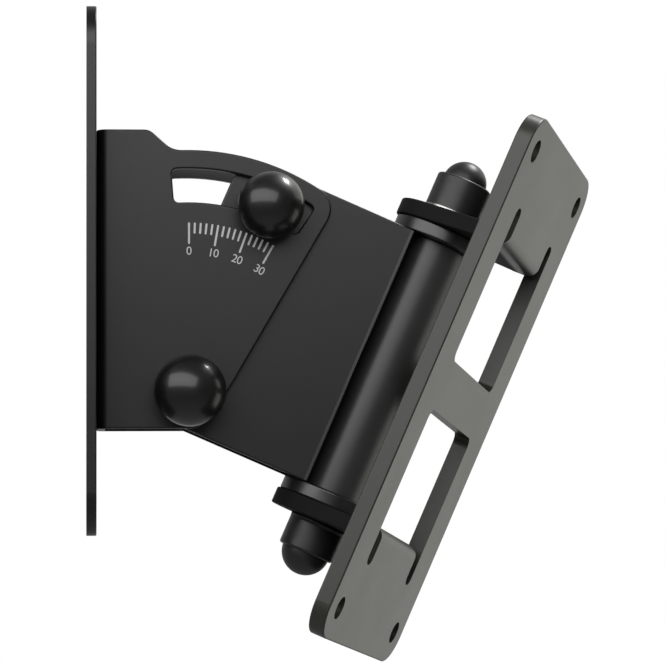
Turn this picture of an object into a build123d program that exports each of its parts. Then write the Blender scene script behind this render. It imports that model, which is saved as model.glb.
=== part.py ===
from build123d import *
import math
import os

# Speaker wall bracket, in millimetres.
# The origin is the centre of the wall plate's back face, X points out from the wall and Z points up.
# The bracket is drawn tilted and panned, as it rests.

# Pose
tilt_rest = 23.65
pan_rest = 19.65
tilt_travel_angle = 30.0

# Wall plate
wall_height = 248.0
wall_width = 102.0
wall_thickness = 4.75
wall_corner = 20.0
wall_hole_diameter = 9.0
wall_hole_from_side = 15.0
wall_hole_from_end = 17.0
edge_break = 0.6

# Fits
running_fit = 0.05
side_gap = 0.25
turn_gap = 0.05
bolt_clearance = 0.25
cap_clearance = 0.3

# M10 hardware on the tilt pivot and the clamp
m10 = 10.0
m10_head_flats = 16.0
m10_head_height = 6.4
pivot_washer_diameter = 20.0
pivot_washer_thickness = 2.0
clamp_washer_diameter = 24.0
clamp_washer_thickness = 2.5
spacer_diameter = 16.0
bolt_in_knob = 13.0

# Yoke: a channel folded from sheet, seen from the side as a fan about the pivot
sheet = 4.0
yoke_width = 46.5
fold_radius = 1.0
sheet_edge = 0.8
pivot_x = 48.2
pivot_z = -56.5
clamp_radius = 94.7
slot_play = 0.4
slot_end_play = 2.4
slot_width = 16.0
slot_corner = 2.5
slot_rim = 8.8
heel_rise = 9.6
heel_depth = 25.0
yoke_bottom = -17.5
yoke_shoulder_angle = 42.0
yoke_shoulder_outer = 7.0
yoke_shoulder_inner = 11.0
yoke_front_offset = 15.6
yoke_front_angle = 30.5
yoke_front_corner = 11.0
yoke_foot_corner = 14.0

# Swivel
swivel_reach = 81.8
tube_diameter = 29.0
tube_bore = 20.0
tube_edge = 0.8
saddle_depth = 0.4
flange_diameter = 47.0
flange_thickness = 6.6
flange_edge = 0.8
sleeve_length = 22.0

# Arm: a channel inside the yoke, open to the rear, in its own frame about the pivot
arm_rear = -21.5
arm_bottom = -16.75
arm_past_clamp = 18.5
arm_rear_corner = 14.0
arm_front_corner = 1.2

# Speaker plate, in the swivel frame
plate_thickness = 7.95
plate_back = 33.6
plate_past_upper_lug = 58.9
plate_past_lower_lug = 57.25
plate_corner = 15.0
plate_edge = 0.8
plate_hole_diameter = 11.0
plate_hole_pitch = 114.3
plate_hole_from_side = 16.0
plate_hole_from_end = 15.4
window_half_width = 46.0
window_depth = 59.4
window_corner = 5.0
slit_width = 9.0
slit_past_bend = 6.4
slit_round_share = 0.45
lug_radius = 24.6
lug_bend = 2.0
lug_bend_outer = 5.6

# Ball knobs
pivot_knob_diameter = 33.8
clamp_knob_diameter = 31.4
knob_seat_share = 0.72
insert_diameter = 14.0
insert_length = 15.0
insert_groove = 1.0

# M12 swivel bolt, its washers and caps
m12 = 12.0
m12_flats = 18.0
m12_head_height = 7.5
m12_nut_height = 10.8
m12_bolt_past_nut = 1.5
swivel_washer_diameter = 27.0
swivel_washer_thickness = 2.5
cap_wall = 2.85
cap_edge = 1.2
cap_dome_sink = 0.9
upper_cap_roof = 3.8
upper_cap_ledge = 2.75
lower_cap_roof = 5.7
lower_cap_ledge = 1.9
hex_angle = 30.0

# Sizes that follow from the ones above
yoke_inside = yoke_width - 2 * sheet
arm_width = yoke_inside - 2 * side_gap
arm_inside = arm_width - 2 * sheet
fold_outer = fold_radius + sheet
heel_x = wall_thickness - pivot_x
yoke_shoulder_x = heel_x + heel_depth
slot_inner = clamp_radius - m10 / 2 - slot_play
slot_outer = slot_inner + slot_width
slot_overrun = math.degrees((m10 / 2 + slot_end_play) / clamp_radius)
yoke_fan_radius = slot_outer + slot_rim
yoke_top = yoke_fan_radius + heel_rise
arm_top = clamp_radius + arm_past_clamp
arm_front = swivel_reach - tube_diameter / 2 + saddle_depth
plate_face = plate_back + plate_thickness
plate_width = plate_hole_pitch + 2 * plate_hole_from_side
lug_rise = plate_thickness + 2 * lug_bend
lug_half_width = window_half_width - slit_width
upper_lug_face = arm_top + flange_thickness + turn_gap
lower_lug_face = arm_bottom - flange_thickness - turn_gap
upper_lug_outside = upper_lug_face + plate_thickness
lower_lug_outside = lower_lug_face - plate_thickness
plate_top = upper_lug_face + plate_past_upper_lug
plate_bottom = lower_lug_face - plate_past_lower_lug
swivel_top = upper_lug_outside + swivel_washer_thickness
swivel_foot = lower_lug_outside - swivel_washer_thickness

# Places
pivot_place = Pos(pivot_x, 0, pivot_z)
arm_place = pivot_place * Rot(0, tilt_rest, 0)
swivel_place = arm_place * Pos(swivel_reach, 0, 0)
head_place = swivel_place * Rot(0, 0, -pan_rest)
clamp_place = arm_place * Pos(0, 0, clamp_radius)


def upright(radius, bottom, top):
    """A cylinder about Z from bottom to top."""
    return Pos(0, 0, bottom) * Cylinder(radius, top - bottom, align=(Align.CENTER, Align.CENTER, Align.MIN))


def crosswise(radius, start, end):
    """A cylinder about Y from start to end."""
    return Pos(0, start, 0) * Rot(-90, 0, 0) * upright(radius, 0, end - start)


def ring(outer_radius, inner_radius, bottom, top):
    """A tube about Z from bottom to top."""
    return upright(outer_radius, bottom, top) - upright(inner_radius, bottom, top)


def side_ring(outer_radius, inner_radius, start, end):
    """A tube about Y from start to end."""
    return crosswise(outer_radius, start, end) - crosswise(inner_radius, start, end)


def hexagon(flats, height):
    """A hexagon prism that stands on Z = 0, its upper corners chamfered."""
    prism = extrude(RegularPolygon(flats / 2, 6, major_radius=False), height)
    foot_radius = flats / 2 + height / math.tan(math.radians(hex_angle))
    crown = Cone(foot_radius, flats / 2, height, align=(Align.CENTER, Align.CENTER, Align.MIN))
    return prism & crown


def corner_at(sketch, x, y):
    """The corner of a sketch that lies nearest to a point."""
    return sketch.vertices().sort_by_distance((x, y, 0))[0]


def channel(web, open_end, width, bottom, top, corner):
    """A U channel, its web at X = web and open toward a larger X, with that outside corner radius."""
    middle = (web + open_end) / 2
    outside = Pos(middle, 0) * Rectangle(open_end - web, width)
    inside = Pos(middle + sheet, 0) * Rectangle(open_end - web, width - 2 * sheet)
    outside = fillet(outside.vertices().group_by(Axis.X)[0], corner)
    inside = fillet(inside.vertices().group_by(Axis.X)[0], fold_radius)
    return Pos(0, 0, bottom) * extrude(outside - inside, top - bottom)


def side_cut(outline):
    """A side view outline, X and Z as drawn, extruded right across the yoke."""
    return extrude(Plane.XZ * outline, yoke_width, both=True)


def fan_point(radius, angle):
    """A point about the pivot, the angle counted from straight up toward the front."""
    turn = math.radians(angle)
    return (radius * math.sin(turn), radius * math.cos(turn))


# Wall plate
wall_hole_spacing_y = wall_width - 2 * wall_hole_from_side
wall_hole_spacing_z = wall_height - 2 * wall_hole_from_end
wall_outline = RectangleRounded(wall_width, wall_height, wall_corner)
for place in GridLocations(wall_hole_spacing_y, wall_hole_spacing_z, 2, 2):
    wall_outline -= place * Circle(wall_hole_diameter / 2)
wall_plate = extrude(Plane.YZ * wall_outline, wall_thickness)
wall_plate = fillet(wall_plate.faces().sort_by(Axis.X)[-1].outer_wire().edges(), edge_break)

# Yoke outline: a fan about the pivot with a taller heel against the wall plate
front_turn = math.radians(yoke_front_angle)
front_foot_rise = (yoke_bottom + yoke_front_offset * math.sin(front_turn)) / math.cos(front_turn)
front_foot_x = yoke_front_offset * math.cos(front_turn) + front_foot_rise * math.sin(front_turn)
front_rise = math.sqrt(yoke_fan_radius**2 - yoke_front_offset**2)
front_tip_x = yoke_front_offset * math.cos(front_turn) + front_rise * math.sin(front_turn)
front_tip_z = front_rise * math.cos(front_turn) - yoke_front_offset * math.sin(front_turn)
front_slope = math.tan(front_turn)
fan_over = yoke_fan_radius + sheet
fan_over_x = front_tip_x + (fan_over - front_tip_z) * front_slope
fan_bounds = Polygon(
    (heel_x, yoke_bottom),
    (front_foot_x, yoke_bottom),
    (fan_over_x, fan_over),
    (heel_x, fan_over),
    align=None,
)
shoulder_run = 2 * heel_rise
shoulder_drop = shoulder_run * math.tan(math.radians(yoke_shoulder_angle))
heel = Polygon(
    (heel_x, 0),
    (yoke_shoulder_x + shoulder_run, 0),
    (yoke_shoulder_x + shoulder_run, yoke_top - shoulder_drop),
    (yoke_shoulder_x, yoke_top),
    (heel_x, yoke_top),
    align=None,
)
yoke_outline = (Circle(yoke_fan_radius) & fan_bounds) + heel
yoke_outline = fillet(corner_at(yoke_outline, yoke_shoulder_x, yoke_top), yoke_shoulder_outer)
yoke_outline = fillet(corner_at(yoke_outline, yoke_shoulder_x / 2, yoke_fan_radius), yoke_shoulder_inner)
yoke_outline = fillet(corner_at(yoke_outline, front_tip_x, front_tip_z), yoke_front_corner)
yoke_outline = fillet(corner_at(yoke_outline, front_foot_x, yoke_bottom), yoke_foot_corner)

# Arc slot for the clamp bolt
slot_sector = Polygon(
    (0, 0),
    fan_point(2 * slot_outer, -slot_overrun),
    fan_point(2 * slot_outer, tilt_travel_angle + slot_overrun),
    align=None,
)
arc_slot = (Circle(slot_outer) - Circle(slot_inner)) & slot_sector
arc_slot = fillet(arc_slot.vertices(), slot_corner)

# Tilt yoke
yoke_side = side_cut(yoke_outline - arc_slot - Circle(m10 / 2 + bolt_clearance))
yoke_reach = pivot_x + 2 * front_tip_x
yoke_span = (pivot_z - yoke_top, pivot_z + 2 * yoke_top)
yoke_channel = channel(wall_thickness, yoke_reach, yoke_width, *yoke_span, fold_outer)
tilt_yoke = yoke_channel & (pivot_place * yoke_side)
yoke_cheeks = tilt_yoke.faces().filter_by(Axis.Y).sort_by(Axis.Y)
yoke_rims = yoke_cheeks[0].outer_wire().edges().sort_by(Axis.X)[1:]
yoke_rims += yoke_cheeks[-1].outer_wire().edges().sort_by(Axis.X)[1:]
for cheek in (yoke_cheeks[0], yoke_cheeks[-1]):
    yoke_rims += cheek.inner_wires().sort_by(SortBy.LENGTH)[-1].edges()
tilt_yoke = fillet(yoke_rims, sheet_edge)

# Tilt arm
arm_length = arm_front - arm_rear
arm_height = arm_top - arm_bottom
arm_middle = Pos((arm_front + arm_rear) / 2, (arm_top + arm_bottom) / 2)
arm_outline = arm_middle * Rectangle(arm_length, arm_height)
arm_outline = fillet(arm_outline.vertices().group_by(Axis.X)[0], arm_rear_corner)
arm_outline -= Circle(m10 / 2 + running_fit)
arm_outline -= Pos(0, clamp_radius) * Circle(m10 / 2 + bolt_clearance)
arm_span = (arm_bottom, arm_top)
arm_channel = Rot(0, 0, 180) * channel(-arm_front, -arm_rear, arm_width, *arm_span, arm_front_corner)
arm_body = arm_channel & side_cut(arm_outline)
arm_cheeks = arm_body.faces().filter_by(Axis.Y).sort_by(Axis.Y)
arm_rims = arm_cheeks[0].outer_wire().edges().sort_by(Axis.X)[:-1]
arm_rims += arm_cheeks[-1].outer_wire().edges().sort_by(Axis.X)[:-1]
arm_body = fillet(arm_rims, sheet_edge)
arm_body -= Pos(swivel_reach, 0, 0) * upright(tube_diameter / 2, arm_bottom, arm_top)
tilt_arm = arm_place * arm_body

# Swivel tube and its flanged bushes
tube = ring(tube_diameter / 2, tube_bore / 2, arm_bottom, arm_top)
tube = fillet(tube.edges().filter_by(GeomType.CIRCLE).sort_by(SortBy.RADIUS)[-2:], tube_edge)
swivel_tube = swivel_place * tube
bush = upright(flange_diameter / 2, 0, flange_thickness)
bush = fillet(bush.edges(), flange_edge)
bush += upright(tube_bore / 2 - running_fit, -sleeve_length, flange_thickness / 2)
bush -= upright(m12 / 2 + running_fit, -sleeve_length, flange_thickness)
upper_bush = swivel_place * Pos(0, 0, arm_top) * bush
lower_bush = swivel_place * Pos(0, 0, arm_bottom) * Rot(180, 0, 0) * bush

# Spacer sleeves inside the arm
spacer_half = arm_inside / 2
spacer_radius = spacer_diameter / 2
pivot_spacer = arm_place * side_ring(spacer_radius, m10 / 2 + running_fit, -spacer_half, spacer_half)
clamp_spacer = clamp_place * side_ring(spacer_radius, m10 / 2 + bolt_clearance, -spacer_half, spacer_half)


def side_bolt(head_seat, tip):
    """An M10 bolt along Y, its head on the far side and its tip on the near side."""
    head = Pos(0, head_seat, 0) * Rot(-90, 0, 0) * hexagon(m10_head_flats, m10_head_height)
    return head + crosswise(m10 / 2, tip, head_seat)


def washer_pair(diameter, inner_face, thickness):
    """Two washers about Y, one on each side of the yoke."""
    hole = m10 / 2 + bolt_clearance
    far = side_ring(diameter / 2, hole, inner_face, inner_face + thickness)
    near = side_ring(diameter / 2, hole, -inner_face - thickness, -inner_face)
    return Compound([far, near])


def knob_insert():
    """A threaded insert along Y, its mouth at Y = 0."""
    waist = insert_length / 3
    insert = crosswise(insert_diameter / 2, -insert_length, 0)
    insert -= side_ring(insert_diameter, insert_diameter / 2 - insert_groove, -2 * waist, -waist)
    return insert - crosswise(m10 / 2 + running_fit, -bolt_in_knob - insert_groove, 0)


def ball_knob(diameter):
    """A ball knob along Y, its flat seat at Y = 0 and its ball on the near side."""
    radius = diameter / 2
    seat = knob_seat_share * radius
    ball = Pos(0, -seat, 0) * Sphere(radius)
    ball -= Pos(0, radius, 0) * Box(diameter, diameter, diameter)
    return ball - knob_insert() - crosswise(m10 / 2 + running_fit, -bolt_in_knob - insert_groove, 0)


# Tilt pivot
pivot_washer_face = yoke_width / 2
pivot_seat = pivot_washer_face + pivot_washer_thickness
pivot_knob_place = pivot_place * Pos(0, -pivot_seat - turn_gap, 0)
pivot_bolt = pivot_place * side_bolt(pivot_seat, -pivot_seat - bolt_in_knob)
pivot_washers = pivot_place * washer_pair(pivot_washer_diameter, pivot_washer_face, pivot_washer_thickness)
pivot_knob_insert = pivot_knob_place * knob_insert()
pivot_knob = pivot_knob_place * ball_knob(pivot_knob_diameter)

# Tilt clamp
clamp_washer_face = yoke_width / 2 + turn_gap
clamp_seat = clamp_washer_face + clamp_washer_thickness
clamp_knob_place = clamp_place * Pos(0, -clamp_seat - turn_gap, 0)
clamp_bolt = clamp_place * side_bolt(clamp_seat, -clamp_seat - bolt_in_knob)
clamp_washers = clamp_place * washer_pair(clamp_washer_diameter, clamp_washer_face, clamp_washer_thickness)
clamp_knob_insert = clamp_knob_place * knob_insert()
clamp_knob = clamp_knob_place * ball_knob(clamp_knob_diameter)


def lug():
    """A tapered lug formed back from the plate, its bearing face at Z = 0 and the plate above it."""
    root_x = plate_back - 2 * lug_bend
    corner = Polygon(
        (root_x, 0),
        (plate_face, 0),
        (plate_face, lug_rise),
        (plate_back, lug_rise),
        (plate_back, plate_thickness),
        (root_x, plate_thickness),
        align=None,
    )
    corner = fillet(corner_at(corner, plate_face, 0), lug_bend_outer)
    corner = fillet(corner_at(corner, plate_back, plate_thickness), lug_bend)
    root = Pos(root_x, 0) * Rectangle(lug_bend, 2 * lug_half_width, align=(Align.MIN, Align.CENTER))
    tongue = extrude(make_hull(Circle(lug_radius).edges() + root.edges()), plate_thickness)
    rims = ShapeList()
    for face in tongue.faces().filter_by(Axis.Z):
        rims += face.outer_wire().edges().sort_by(Axis.X)[:-3]
    tongue = fillet(rims, plate_edge)
    folded = tongue + extrude(Plane.XZ * corner, lug_half_width, both=True)
    return folded - upright(m12 / 2 + running_fit, 0, plate_thickness)


def window():
    """The window that a lug leaves, with a relief slit past the bend on both sides of the lug."""
    top = lug_rise + slit_past_bend
    opening = Pos(0, (top - window_depth) / 2) * Rectangle(2 * window_half_width, top + window_depth)
    opening = fillet(opening.vertices().group_by(Axis.Y)[0], window_corner)
    opening -= Pos(0, top) * Rectangle(2 * lug_half_width, 2 * slit_past_bend)
    slit_ends = opening.vertices().group_by(Axis.Y)[-1]
    opening = fillet(slit_ends, slit_round_share * slit_width)
    return Pos(plate_back, 0, 0) * extrude(Plane.YZ * opening, plate_thickness)


# Speaker plate
plate_height = plate_top - plate_bottom
plate_middle = Pos(0, (plate_top + plate_bottom) / 2)
plate_outline = plate_middle * RectangleRounded(plate_width, plate_height, plate_corner)
for side in (-1, 1):
    for height in (plate_top - plate_hole_from_end, plate_bottom + plate_hole_from_end):
        plate_outline -= Pos(side * plate_hole_pitch / 2, height) * Circle(plate_hole_diameter / 2)
plate = Pos(plate_back, 0, 0) * extrude(Plane.YZ * plate_outline, plate_thickness)
plate_rims = plate.faces().sort_by(Axis.X)[0].outer_wire().edges()
plate_rims += plate.faces().sort_by(Axis.X)[-1].outer_wire().edges()
plate = fillet(plate_rims, plate_edge)
upper_place = Pos(0, 0, upper_lug_face)
lower_place = Pos(0, 0, lower_lug_face) * Rot(180, 0, 0)
for place in (upper_place, lower_place):
    plate -= place * window()
    plate += place * lug()
speaker_plate = head_place * plate

# Swivel bolt, nut and washers
nut_top = m12_nut_height + m12_bolt_past_nut
bolt_head = Pos(0, 0, swivel_foot) * Rot(180, 0, 0) * hexagon(m12_flats, m12_head_height)
swivel_bolt = head_place * (bolt_head + upright(m12 / 2, swivel_foot, swivel_top + nut_top))
nut = hexagon(m12_flats, m12_nut_height) - upright(m12 / 2, 0, m12_nut_height)
swivel_nut = head_place * Pos(0, 0, swivel_top) * nut
washer = ring(swivel_washer_diameter / 2, m12 / 2 + bolt_clearance, 0, swivel_washer_thickness)
upper_washer = Pos(0, 0, upper_lug_outside) * washer
lower_washer = Pos(0, 0, swivel_foot) * washer
swivel_washers = head_place * Compound([upper_washer, lower_washer])


def dome_cap(covered_height, roof, ledge):
    """A domed cap that stands on Z = 0 over a hexagon of the given height."""
    bore_radius = m12_flats / 2 / math.cos(math.radians(hex_angle)) + cap_clearance
    bore_depth = covered_height + cap_clearance
    skirt_radius = bore_radius + cap_wall
    skirt_height = bore_depth + roof
    cap = upright(skirt_radius, 0, skirt_height)
    cap = fillet(cap.edges().sort_by(Axis.Z)[-1], cap_edge)
    cap += Pos(0, 0, skirt_height - cap_dome_sink) * Sphere(skirt_radius - ledge)
    return cap - upright(bore_radius, 0, bore_depth)


# Dome caps over the nut and the bolt head
upper_dome = dome_cap(nut_top, upper_cap_roof, upper_cap_ledge)
upper_cap = head_place * Pos(0, 0, swivel_top) * upper_dome
lower_dome = dome_cap(m12_head_height, lower_cap_roof, lower_cap_ledge)
lower_cap = head_place * Pos(0, 0, swivel_foot) * Rot(180, 0, 0) * lower_dome

nodes = {
    "wall_plate": wall_plate,
    "tilt_yoke": tilt_yoke,
    "pivot_bolt": pivot_bolt,
    "pivot_washers": pivot_washers,
    "pivot_knob": pivot_knob,
    "pivot_knob_insert": pivot_knob_insert,
    "tilt_arm": tilt_arm,
    "swivel_tube": swivel_tube,
    "upper_bush": upper_bush,
    "lower_bush": lower_bush,
    "pivot_spacer": pivot_spacer,
    "clamp_spacer": clamp_spacer,
    "clamp_bolt": clamp_bolt,
    "clamp_washers": clamp_washers,
    "clamp_knob": clamp_knob,
    "clamp_knob_insert": clamp_knob_insert,
    "speaker_plate": speaker_plate,
    "swivel_bolt": swivel_bolt,
    "swivel_nut": swivel_nut,
    "swivel_washers": swivel_washers,
    "upper_cap": upper_cap,
    "lower_cap": lower_cap,
}

os.makedirs("parts", exist_ok=True)
for name, shape in nodes.items():
    export_step(shape, f"parts/{name}.step")
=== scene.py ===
import math

import bmesh
import bpy
from mathutils import Matrix, Vector


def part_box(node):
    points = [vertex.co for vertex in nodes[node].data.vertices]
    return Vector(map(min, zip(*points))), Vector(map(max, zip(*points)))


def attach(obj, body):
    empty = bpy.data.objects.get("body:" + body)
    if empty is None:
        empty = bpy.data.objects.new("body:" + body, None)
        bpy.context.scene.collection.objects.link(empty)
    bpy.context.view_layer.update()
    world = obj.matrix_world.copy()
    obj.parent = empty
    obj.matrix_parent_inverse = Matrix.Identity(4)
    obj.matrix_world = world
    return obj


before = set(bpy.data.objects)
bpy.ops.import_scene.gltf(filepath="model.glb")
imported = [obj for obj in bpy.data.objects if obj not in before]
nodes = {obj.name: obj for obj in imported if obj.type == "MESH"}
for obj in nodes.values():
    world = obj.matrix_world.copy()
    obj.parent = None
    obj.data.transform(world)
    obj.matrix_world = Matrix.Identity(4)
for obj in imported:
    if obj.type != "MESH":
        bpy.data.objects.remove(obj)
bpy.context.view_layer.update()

# Camera, as fitted to the photograph
camera_place = Vector((0.002103, -1.496126, -0.113755))
camera_yaw = math.radians(4.415)
camera_pitch = math.radians(3.292)
camera_roll = math.radians(0.241)
image_side = 665
focal_pixels = 3135.0
sensor_width = 36.0
nearest_seen = 0.01

# Printed tilt scale on the near cheek of the yoke
pivot = Vector((0.0482, 0.0, -0.0565))
cheek_face = -0.02325
print_lift = 0.00005
tick_outer = 0.0797
tick_short = 0.0053
tick_long = 0.0102
tick_stroke = 0.00095
tick_end_steps = 6
scale_end = 30
tick_step = 2
number_step = 10
number_radius = 0.0661
number_height = 0.0038
digit_share_of_font = 0.69
number_spacing = 0.92

# Weld bead along both front corners of the arm, in the arm's own frame about the pivot
arm_tilt = math.radians(23.65)
arm_front = 0.0677
bead_bottom = -0.0163
bead_top = 0.1127
bead_width = 0.0016
bead_crest = 0.0004
bead_height = 0.0002
bead_depth = 0.0011

# Swivel, where the head turns about the arm's front
swivel_reach = 0.0818
pan_rest = math.radians(19.65)

# Matt near-black coat of the lugs, which begins a little behind the speaker plate's face; in front
# of it the plate keeps a lighter tone of painted sheen
lug_start = 0.034
lug_end = 0.031
lug_colour = (0.008, 0.008, 0.008)
lug_specular_drop = 0.38
lug_extra_roughness = 0.3
plate_specular = 0.5

# Skirt of the lower cap
skirt_flare = 0.0002
skirt_sides = 96
skirt_flat_from = 0.5

# Gloss of the thin polish on moulded plastic
polish_roughness = 0.16

# Span of a noise value that carries its detail, for gloss and for colour
gloss_span = (0.3, 0.7)
colour_span = (0.35, 0.65)

# Stage, with the share of white that the camera sees and the share that reflections see
plain_white = (1.0, 1.0, 1.0)
side_white = (1.0, 1.0, 0.93)
all_white = 1.0
white_strength = 1.0
stage_roughness = 0.9
floor_level = -1.5
floor_tone = 0.5
floor_white_share = 0.85
floor_mirror_share = 0.15
backdrop_tone = 0.85
backdrop_mirror_share = 0.3
stage_left = -8.0
stage_right = 2.6
stage_front = -8.0
stage_back = 2.7
stage_height = 4.5
side_start = 1.3
side_front = 0.0
world_strength = 0.1
world_mirror_share = 0.05
lamp_target = Vector((0.11, 0.0, -0.02))

# Directions of the arm at rest, where the swivel is, and which way the speaker plate faces
across = Vector((0.0, 1.0, 0.0))
arm_along = Vector((math.cos(arm_tilt), 0.0, -math.sin(arm_tilt)))
arm_up = Vector((math.sin(arm_tilt), 0.0, math.cos(arm_tilt)))
swivel_point = pivot + swivel_reach * arm_along
plate_normal = math.cos(pan_rest) * arm_along - math.sin(pan_rest) * across


def new_material(name):
    """An empty node material with its principled shader and object coordinates."""
    material = bpy.data.materials.new(name)
    material.use_nodes = True
    tree = material.node_tree
    shader = tree.nodes["Principled BSDF"]
    coordinates = tree.nodes.new("ShaderNodeTexCoord")
    return material, tree, shader, coordinates.outputs["Object"]


def add_noise(tree, vector, size, detail=3.0):
    """A noise texture whose patches are about size metres wide."""
    noise = tree.nodes.new("ShaderNodeTexNoise")
    noise.inputs["Scale"].default_value = 1.0 / size
    noise.inputs["Detail"].default_value = detail
    tree.links.new(vector, noise.inputs["Vector"])
    return noise.outputs["Fac"]


def shade(colour, factor):
    """A colour scaled in brightness."""
    return tuple(channel * factor for channel in colour)


def vary_colour(tree, shader, noise, colour, dark, light):
    """The shader's colour, which follows the noise between two factors of brightness."""
    ramp = tree.nodes.new("ShaderNodeValToRGB")
    stops = ramp.color_ramp.elements
    for stop, position, factor in zip(stops, colour_span, (dark, light)):
        stop.position = position
        stop.color = (*shade(colour, factor), 1.0)
    tree.links.new(noise, ramp.inputs["Fac"])
    tree.links.new(ramp.outputs["Color"], shader.inputs["Base Color"])


def vary_gloss(tree, shader, noise, low, high):
    """The shader's roughness, which follows the noise from low to high."""
    ramp = tree.nodes.new("ShaderNodeMapRange")
    ramp.inputs["From Min"].default_value = gloss_span[0]
    ramp.inputs["From Max"].default_value = gloss_span[1]
    ramp.inputs["To Min"].default_value = low
    ramp.inputs["To Max"].default_value = high
    tree.links.new(noise, ramp.inputs["Value"])
    tree.links.new(ramp.outputs["Result"], shader.inputs["Roughness"])


def add_bump(tree, shader, noise, depth, strength):
    """A bump on the shader that follows the noise, of that depth in metres."""
    bump = tree.nodes.new("ShaderNodeBump")
    bump.inputs["Distance"].default_value = depth
    bump.inputs["Strength"].default_value = strength
    tree.links.new(noise, bump.inputs["Height"])
    tree.links.new(bump.outputs["Normal"], shader.inputs["Normal"])


def powder_coat(name, colour, roughness, specular):
    """Powder coat: a fine orange peel, with slight cloudiness in colour and gloss."""
    material, tree, shader, place = new_material(name)
    cloud = add_noise(tree, place, size=0.03)
    peel = add_noise(tree, place, size=0.0009, detail=2.0)
    vary_colour(tree, shader, cloud, colour, dark=0.9, light=1.1)
    vary_gloss(tree, shader, cloud, low=roughness - 0.015, high=roughness + 0.015)
    shader.inputs["Specular IOR Level"].default_value = specular
    add_bump(tree, shader, peel, depth=0.00006, strength=0.25)
    return material


def add_multiply(tree, value, factor):
    """A node for value * factor + its third input."""
    node = tree.nodes.new("ShaderNodeMath")
    node.operation = "MULTIPLY_ADD"
    node.inputs[1].default_value = factor
    tree.links.new(value, node.inputs[0])
    return node


def matt_lugs(material):
    """Turns a coat matt and darker on the lugs, which stand behind the speaker plate, so that the
    painted sheen stays on the plate in front of them.
    """
    tree = material.node_tree
    shader = tree.nodes["Principled BSDF"]
    place = tree.nodes.new("ShaderNodeTexCoord").outputs["Object"]
    offset = tree.nodes.new("ShaderNodeVectorMath")
    offset.operation = "SUBTRACT"
    offset.inputs[1].default_value = swivel_point
    tree.links.new(place, offset.inputs[0])
    depth = tree.nodes.new("ShaderNodeVectorMath")
    depth.operation = "DOT_PRODUCT"
    depth.inputs[1].default_value = plate_normal
    tree.links.new(offset.outputs["Vector"], depth.inputs[0])
    lug = tree.nodes.new("ShaderNodeMapRange")
    lug.inputs["From Min"].default_value = lug_end
    lug.inputs["From Max"].default_value = lug_start
    lug.inputs["To Min"].default_value = 1.0
    lug.inputs["To Max"].default_value = 0.0
    tree.links.new(depth.outputs["Value"], lug.inputs["Value"])
    on_lug = lug.outputs["Result"]
    shine = add_multiply(tree, on_lug, -lug_specular_drop)
    shine.inputs[2].default_value = plate_specular
    tree.links.new(shine.outputs["Value"], shader.inputs["Specular IOR Level"])
    gloss = add_multiply(tree, on_lug, lug_extra_roughness)
    tree.links.new(shader.inputs["Roughness"].links[0].from_socket, gloss.inputs[2])
    tree.links.new(gloss.outputs["Value"], shader.inputs["Roughness"])
    tint = tree.nodes.new("ShaderNodeMix")
    tint.data_type = "RGBA"
    tint.inputs["B"].default_value = (*lug_colour, 1.0)
    tree.links.new(on_lug, tint.inputs["Factor"])
    tree.links.new(shader.inputs["Base Color"].links[0].from_socket, tint.inputs["A"])
    tree.links.new(tint.outputs["Result"], shader.inputs["Base Color"])
    return material


def moulded_plastic(name, colour, roughness, grain, specular, polish=0.0):
    """Moulded plastic: a faint skin grain and uneven gloss, under a thin polish where wanted."""
    material, tree, shader, place = new_material(name)
    skin = add_noise(tree, place, size=grain)
    patches = add_noise(tree, place, size=0.012)
    vary_colour(tree, shader, patches, colour, dark=0.9, light=1.1)
    vary_gloss(tree, shader, patches, low=roughness * 0.85, high=roughness * 1.15)
    shader.inputs["Specular IOR Level"].default_value = specular
    shader.inputs["Coat Weight"].default_value = polish
    shader.inputs["Coat Roughness"].default_value = polish_roughness
    add_bump(tree, shader, skin, depth=0.00002, strength=0.15)
    return material


def plated_metal(name, colour, roughness):
    """Plated or turned metal: fine tool marks in gloss and bump."""
    material, tree, shader, place = new_material(name)
    marks = add_noise(tree, place, size=0.0006, detail=4.0)
    patches = add_noise(tree, place, size=0.006)
    vary_colour(tree, shader, patches, colour, dark=0.88, light=1.1)
    vary_gloss(tree, shader, marks, low=roughness - 0.06, high=roughness + 0.06)
    shader.inputs["Metallic"].default_value = 1.0
    add_bump(tree, shader, marks, depth=0.00002, strength=0.2)
    return material


def printed_ink(name, colour):
    """Screen print: a matt ink film that is a little uneven."""
    material, tree, shader, place = new_material(name)
    film = add_noise(tree, place, size=0.0005)
    vary_colour(tree, shader, film, colour, dark=0.85, light=1.0)
    vary_gloss(tree, shader, film, low=0.5, high=0.65)
    return material


# Finishes
black_coat = powder_coat(
    "black_powder_coat", colour=(0.0055, 0.0055, 0.0055), roughness=0.36, specular=0.5)
# The swivel tube carries the black coat at a base colour several times lighter than on the other
# parts: painted light, standing in for the light its left flank lacks beside the arm.
tube_coat_painted_light = powder_coat(
    "tube_powder_coat_painted_light", colour=(0.03, 0.03, 0.03), roughness=0.41, specular=0.65)
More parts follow.
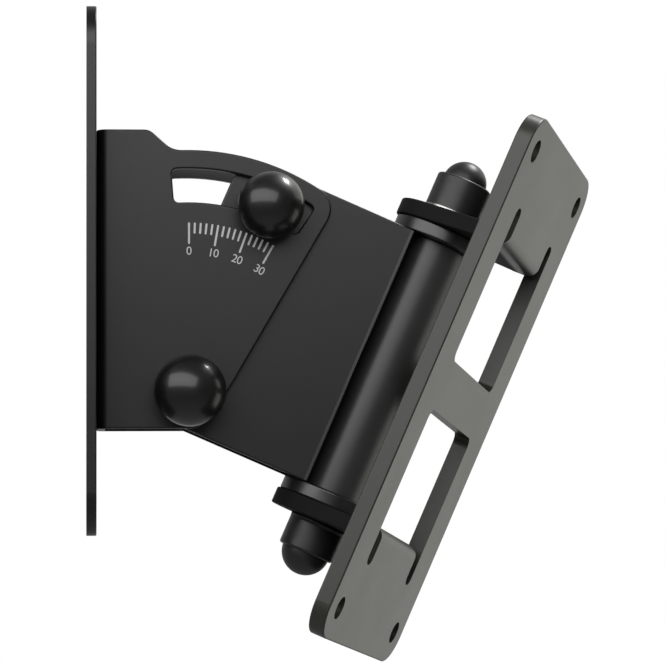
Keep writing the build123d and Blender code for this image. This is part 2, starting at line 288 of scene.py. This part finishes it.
# The speaker plate's base tone is several times lighter than the black coat: painted sheen, the
# grazing reflection of the black coat put into its colour; only its lugs keep a near-black.
plate_coat_painted_sheen = matt_lugs(powder_coat(
    "plate_powder_coat_painted_sheen", colour=(0.029, 0.029, 0.023), roughness=0.36, specular=plate_specular))
knob_plastic = moulded_plastic(
    "black_knob_plastic", colour=(0.004, 0.004, 0.0043), roughness=0.4, grain=0.0012,
    specular=0.35, polish=0.5)
cap_plastic = moulded_plastic(
    "black_cap_plastic", colour=(0.014, 0.014, 0.0145), roughness=0.42, grain=0.0008,
    specular=0.5)
bush_plastic = moulded_plastic(
    "black_bush_plastic", colour=(0.012, 0.012, 0.0124), roughness=0.3, grain=0.0008,
    specular=0.7)
black_zinc = plated_metal("black_zinc", colour=(0.10, 0.10, 0.105), roughness=0.38)
clear_zinc = plated_metal("clear_zinc", colour=(0.42, 0.42, 0.41), roughness=0.3)
brass = plated_metal("turned_brass", colour=(0.72, 0.53, 0.24), roughness=0.3)
scale_ink = printed_ink("scale_ink", colour=(0.68, 0.68, 0.68))

node_finish = {
    "wall_plate": black_coat,
    "tilt_yoke": black_coat,
    "tilt_arm": black_coat,
    "swivel_tube": tube_coat_painted_light,
    "speaker_plate": plate_coat_painted_sheen,
    "pivot_knob": knob_plastic,
    "clamp_knob": knob_plastic,
    "upper_cap": cap_plastic,
    "lower_cap": cap_plastic,
    "upper_bush": bush_plastic,
    "lower_bush": bush_plastic,
    "pivot_bolt": black_zinc,
    "pivot_washers": black_zinc,
    "clamp_bolt": black_zinc,
    "clamp_washers": black_zinc,
    "pivot_spacer": black_zinc,
    "clamp_spacer": black_zinc,
    "swivel_bolt": black_zinc,
    "swivel_nut": black_zinc,
    "swivel_washers": clear_zinc,
    "pivot_knob_insert": brass,
    "clamp_knob_insert": brass,
}
for node_name, finish in node_finish.items():
    for material_slot in nodes[node_name].material_slots:
        material_slot.material = finish


def add_object(name, mesh, finish):
    """A new mesh object with one finish."""
    piece = bpy.data.objects.new(name, mesh)
    piece.data.materials.append(finish)
    bpy.context.scene.collection.objects.link(piece)
    return piece


def join_rings(build, first, second):
    """Faces between two closed rings of as many points."""
    count = len(first)
    for index in range(count):
        after = (index + 1) % count
        build.faces.new((first[index], first[after], second[after], second[index]))


def scale_axes(angle):
    """Along, outward and toward the viewer, at an angle of the tilt scale."""
    along = Vector((math.cos(angle), 0.0, -math.sin(angle)))
    outward = Vector((math.sin(angle), 0.0, math.cos(angle)))
    return along, outward, -across


scale_centre = Vector((pivot.x, cheek_face, pivot.z))


def half_round(radius, height, start):
    """A half circle of points, as the rounded end of a tick."""
    turns = [start + math.pi * step / tick_end_steps for step in range(tick_end_steps + 1)]
    return [(radius * math.cos(turn), height + radius * math.sin(turn)) for turn in turns]


def scale_ticks():
    """The tick marks as thin raised ink strips with rounded ends."""
    mesh = bpy.data.meshes.new("scale_ticks")
    build = bmesh.new()
    half = tick_stroke / 2
    for degrees in range(0, scale_end + 1, tick_step):
        length = tick_long if degrees % number_step == 0 else tick_short
        along, outward, toward = scale_axes(math.radians(degrees))
        outline = half_round(half, tick_outer - half, 0.0)
        outline += half_round(half, tick_outer - length + half, math.pi)
        low = [build.verts.new(scale_centre + x * along + r * outward) for x, r in outline]
        high = [build.verts.new(vert.co + print_lift * toward) for vert in low]
        build.faces.new(high)
        build.faces.new(list(reversed(low)))
        join_rings(build, low, high)
    build.to_mesh(mesh)
    build.free()
    return add_object("scale_ticks", mesh, scale_ink)


def scale_number(degrees):
    """One number of the scale, upright along its tick."""
    text = bpy.data.curves.new(f"scale_number_{degrees}", "FONT")
    text.body = str(degrees)
    text.align_x = "CENTER"
    text.align_y = "CENTER"
    text.size = number_height / digit_share_of_font
    text.extrude = print_lift
    text.space_character = number_spacing
    along, outward, toward = scale_axes(math.radians(degrees))
    turn = Matrix((along, outward, toward)).transposed().to_4x4()
    carrier = bpy.data.objects.new("number_carrier", text)
    bpy.context.scene.collection.objects.link(carrier)
    view = bpy.context.evaluated_depsgraph_get()
    mesh = bpy.data.meshes.new_from_object(carrier.evaluated_get(view))
    bpy.data.objects.remove(carrier)
    mesh.transform(Matrix.Translation(scale_centre + number_radius * outward) @ turn)
    mesh.materials.clear()
    return add_object(f"scale_number_{degrees}", mesh, scale_ink)


ticks = scale_ticks()
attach(ticks, "wall_mount")
for degrees in range(0, scale_end + 1, number_step):
    number = scale_number(degrees)
    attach(number, "wall_mount")


def arm_bead(name, side):
    """A low weld bead along a front corner of the arm, on the near (-1) or the far (1) side."""
    outward = side * across
    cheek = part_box("tilt_arm")[1][1]
    outline = [
        (arm_front - bead_width, cheek),
        (arm_front - bead_crest, cheek + bead_height),
        (arm_front, cheek - bead_height),
        (arm_front, cheek - bead_depth),
        (arm_front - bead_width, cheek - bead_depth),
    ]
    mesh = bpy.data.meshes.new(name)
    build = bmesh.new()
    rings = []
    for height in (bead_bottom, bead_top):
        points = [pivot + x * arm_along + y * outward + height * arm_up for x, y in outline]
        rings.append([build.verts.new(point) for point in points])
    for ring in rings:
        build.faces.new(ring)
    join_rings(build, *rings)
    bmesh.ops.recalc_face_normals(build, faces=build.faces[:])
    build.to_mesh(mesh)
    build.free()
    return add_object(name, mesh, black_coat)


for bead_name, side in (("arm_bead_near", -1), ("arm_bead_far", 1)):
    bead = arm_bead(bead_name, side)
    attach(bead, "arm")


def cap_skirt():
    """The lower cap's skirt, which hides the washer between the cap and the lug."""
    washer_offsets = [vert.co - swivel_point for vert in nodes["swivel_washers"].data.vertices]
    washer_heights = [offset.dot(arm_up) for offset in washer_offsets]
    skirt_top = max(height for height in washer_heights if height < 0.0)
    cap_offsets = [vert.co - swivel_point for vert in nodes["lower_cap"].data.vertices]
    skirt_foot = max(offset.dot(arm_up) for offset in cap_offsets)
    cap_radius = max((offset - offset.dot(arm_up) * arm_up).length for offset in cap_offsets)
    outline = [
        (cap_radius, skirt_foot),
        (cap_radius + skirt_flare, skirt_top),
        (cap_radius, skirt_top),
    ]
    mesh = bpy.data.meshes.new("lower_cap_skirt")
    build = bmesh.new()
    rings = []
    for side in range(skirt_sides):
        turn = 2 * math.pi * side / skirt_sides
        outward = math.cos(turn) * arm_along + math.sin(turn) * across
        points = [swivel_point + r * outward + h * arm_up for r, h in outline]
        rings.append([build.verts.new(point) for point in points])
    for side in range(skirt_sides):
        join_rings(build, rings[side], rings[(side + 1) % skirt_sides])
    bmesh.ops.recalc_face_normals(build, faces=build.faces[:])
    build.to_mesh(mesh)
    build.free()
    for polygon in mesh.polygons:
        polygon.use_smooth = abs(polygon.normal.dot(arm_up)) < skirt_flat_from
    return add_object("lower_cap_skirt", mesh, cap_plastic)


skirt = cap_skirt()
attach(skirt, "head")


def seen_white(tree, plain, white, target, camera_share, mirror_share):
    """White in one share for the camera and in another for reflections, else plain."""
    path = tree.nodes.new("ShaderNodeLightPath")
    shares = {
        "Is Camera Ray": camera_share,
        "Is Glossy Ray": mirror_share,
        "Is Transmission Ray": mirror_share,
    }
    amount = None
    for name, share in shares.items():
        part = add_multiply(tree, path.outputs[name], share)
        part.inputs[2].default_value = 0.0
        if amount is not None:
            tree.links.new(amount, part.inputs[2])
        amount = part.outputs["Value"]
    mix = tree.nodes.new("ShaderNodeMixShader")
    tree.links.new(amount, mix.inputs["Fac"])
    tree.links.new(plain, mix.inputs[1])
    tree.links.new(white, mix.inputs[2])
    tree.links.new(mix.outputs["Shader"], target)


def stage_material(name, tone, white, camera_share, mirror_share):
    """A pale matt surface that is seen as white in those shares, and shows shadows in the rest."""
    material = bpy.data.materials.new(name)
    material.use_nodes = True
    tree = material.node_tree
    shader = tree.nodes["Principled BSDF"]
    shader.inputs["Base Color"].default_value = (tone, tone, tone, 1.0)
    shader.inputs["Roughness"].default_value = stage_roughness
    glow = tree.nodes.new("ShaderNodeEmission")
    glow.inputs["Color"].default_value = (*white, 1.0)
    glow.inputs["Strength"].default_value = white_strength
    target = tree.nodes["Material Output"].inputs["Surface"]
    outputs = (shader.outputs["BSDF"], glow.outputs["Emission"])
    seen_white(tree, *outputs, target, camera_share, mirror_share)
    material.cycles.emission_sampling = "NONE"
    return material


def stage_sheet(name, corners, finish):
    """One flat stage surface from its four corners."""
    mesh = bpy.data.meshes.new(name)
    mesh.from_pydata(corners, [], [(0, 1, 2, 3)])
    add_object(name, mesh, finish)


def upright(start, end):
    """Corners of an upright sheet on the floor, between two places."""
    return [
        (*start, floor_level),
        (*end, floor_level),
        (*end, stage_height),
        (*start, stage_height),
    ]


# Floor, a straight backdrop, and a side backdrop that the speaker plate's face reflects
floor_corners = [
    (stage_left, stage_front, floor_level),
    (stage_right, stage_front, floor_level),
    (stage_right, stage_back, floor_level),
    (stage_left, stage_back, floor_level),
]
floor_finish = stage_material(
    "floor", floor_tone, plain_white, floor_white_share, floor_mirror_share)
stage_sheet("floor", floor_corners, floor_finish)
backdrop_corners = upright((stage_left, stage_back), (side_start, stage_back))
backdrop_finish = stage_material(
    "backdrop", backdrop_tone, plain_white, all_white, backdrop_mirror_share)
stage_sheet("backdrop", backdrop_corners, backdrop_finish)
side_corners = upright((side_start, stage_back), (stage_right, side_front))
side_finish = stage_material(
    "side_backdrop", backdrop_tone, side_white, all_white, all_white)
stage_sheet("side_backdrop", side_corners, side_finish)

# World: white behind the stage for the camera, faint white in reflections, else dim plain light
world = bpy.data.worlds.new("studio")
bpy.context.scene.world = world
world.use_nodes = True
world_tree = world.node_tree
world_light = world_tree.nodes["Background"]
world_glow = world_tree.nodes.new("ShaderNodeBackground")
for background, strength in ((world_light, world_strength), (world_glow, white_strength)):
    background.inputs["Color"].default_value = (*plain_white, 1.0)
    background.inputs["Strength"].default_value = strength
world_outputs = (world_light.outputs["Background"], world_glow.outputs["Background"])
world_target = world_tree.nodes["World Output"].inputs["Surface"]
seen_white(world_tree, *world_outputs, world_target, all_white, world_mirror_share)


def softbox(name, place, width, height, power):
    """A rectangular area lamp aimed at the object."""
    lamp = bpy.data.lights.new(name, "AREA")
    lamp.shape = "RECTANGLE"
    lamp.size = width
    lamp.size_y = height
    lamp.energy = power
    holder = bpy.data.objects.new(name, lamp)
    holder.location = place
    aim = lamp_target - Vector(place)
    holder.rotation_euler = aim.to_track_quat("-Z", "Y").to_euler()
    bpy.context.scene.collection.objects.link(holder)


softbox("key_softbox", place=(-0.44, -0.93, 0.6), width=2.46, height=0.95, power=20.0)
softbox("top_strip", place=(0.63, 0.26, 0.87), width=0.34, height=0.2, power=7.0)

# Camera at the photograph's angle
level_forward = Vector((math.sin(camera_yaw), math.cos(camera_yaw), 0.0))
level_right = Vector((math.cos(camera_yaw), -math.sin(camera_yaw), 0.0))
upward = Vector((0.0, 0.0, 1.0))
forward = math.cos(camera_pitch) * level_forward + math.sin(camera_pitch) * upward
level_down = forward.cross(level_right)
right = math.cos(camera_roll) * level_right + math.sin(camera_roll) * level_down
down = math.cos(camera_roll) * level_down - math.sin(camera_roll) * level_right
lens = bpy.data.cameras.new("photo_camera")
lens.sensor_width = sensor_width
lens.lens = focal_pixels / image_side * sensor_width
lens.clip_start = nearest_seen
camera = bpy.data.objects.new("photo_camera", lens)
turned = Matrix((right, -down, -forward)).transposed().to_4x4()
camera.matrix_world = Matrix.Translation(camera_place) @ turned
bpy.context.scene.collection.objects.link(camera)
bpy.context.scene.camera = camera
bpy.context.scene.view_settings.view_transform = "Standard"
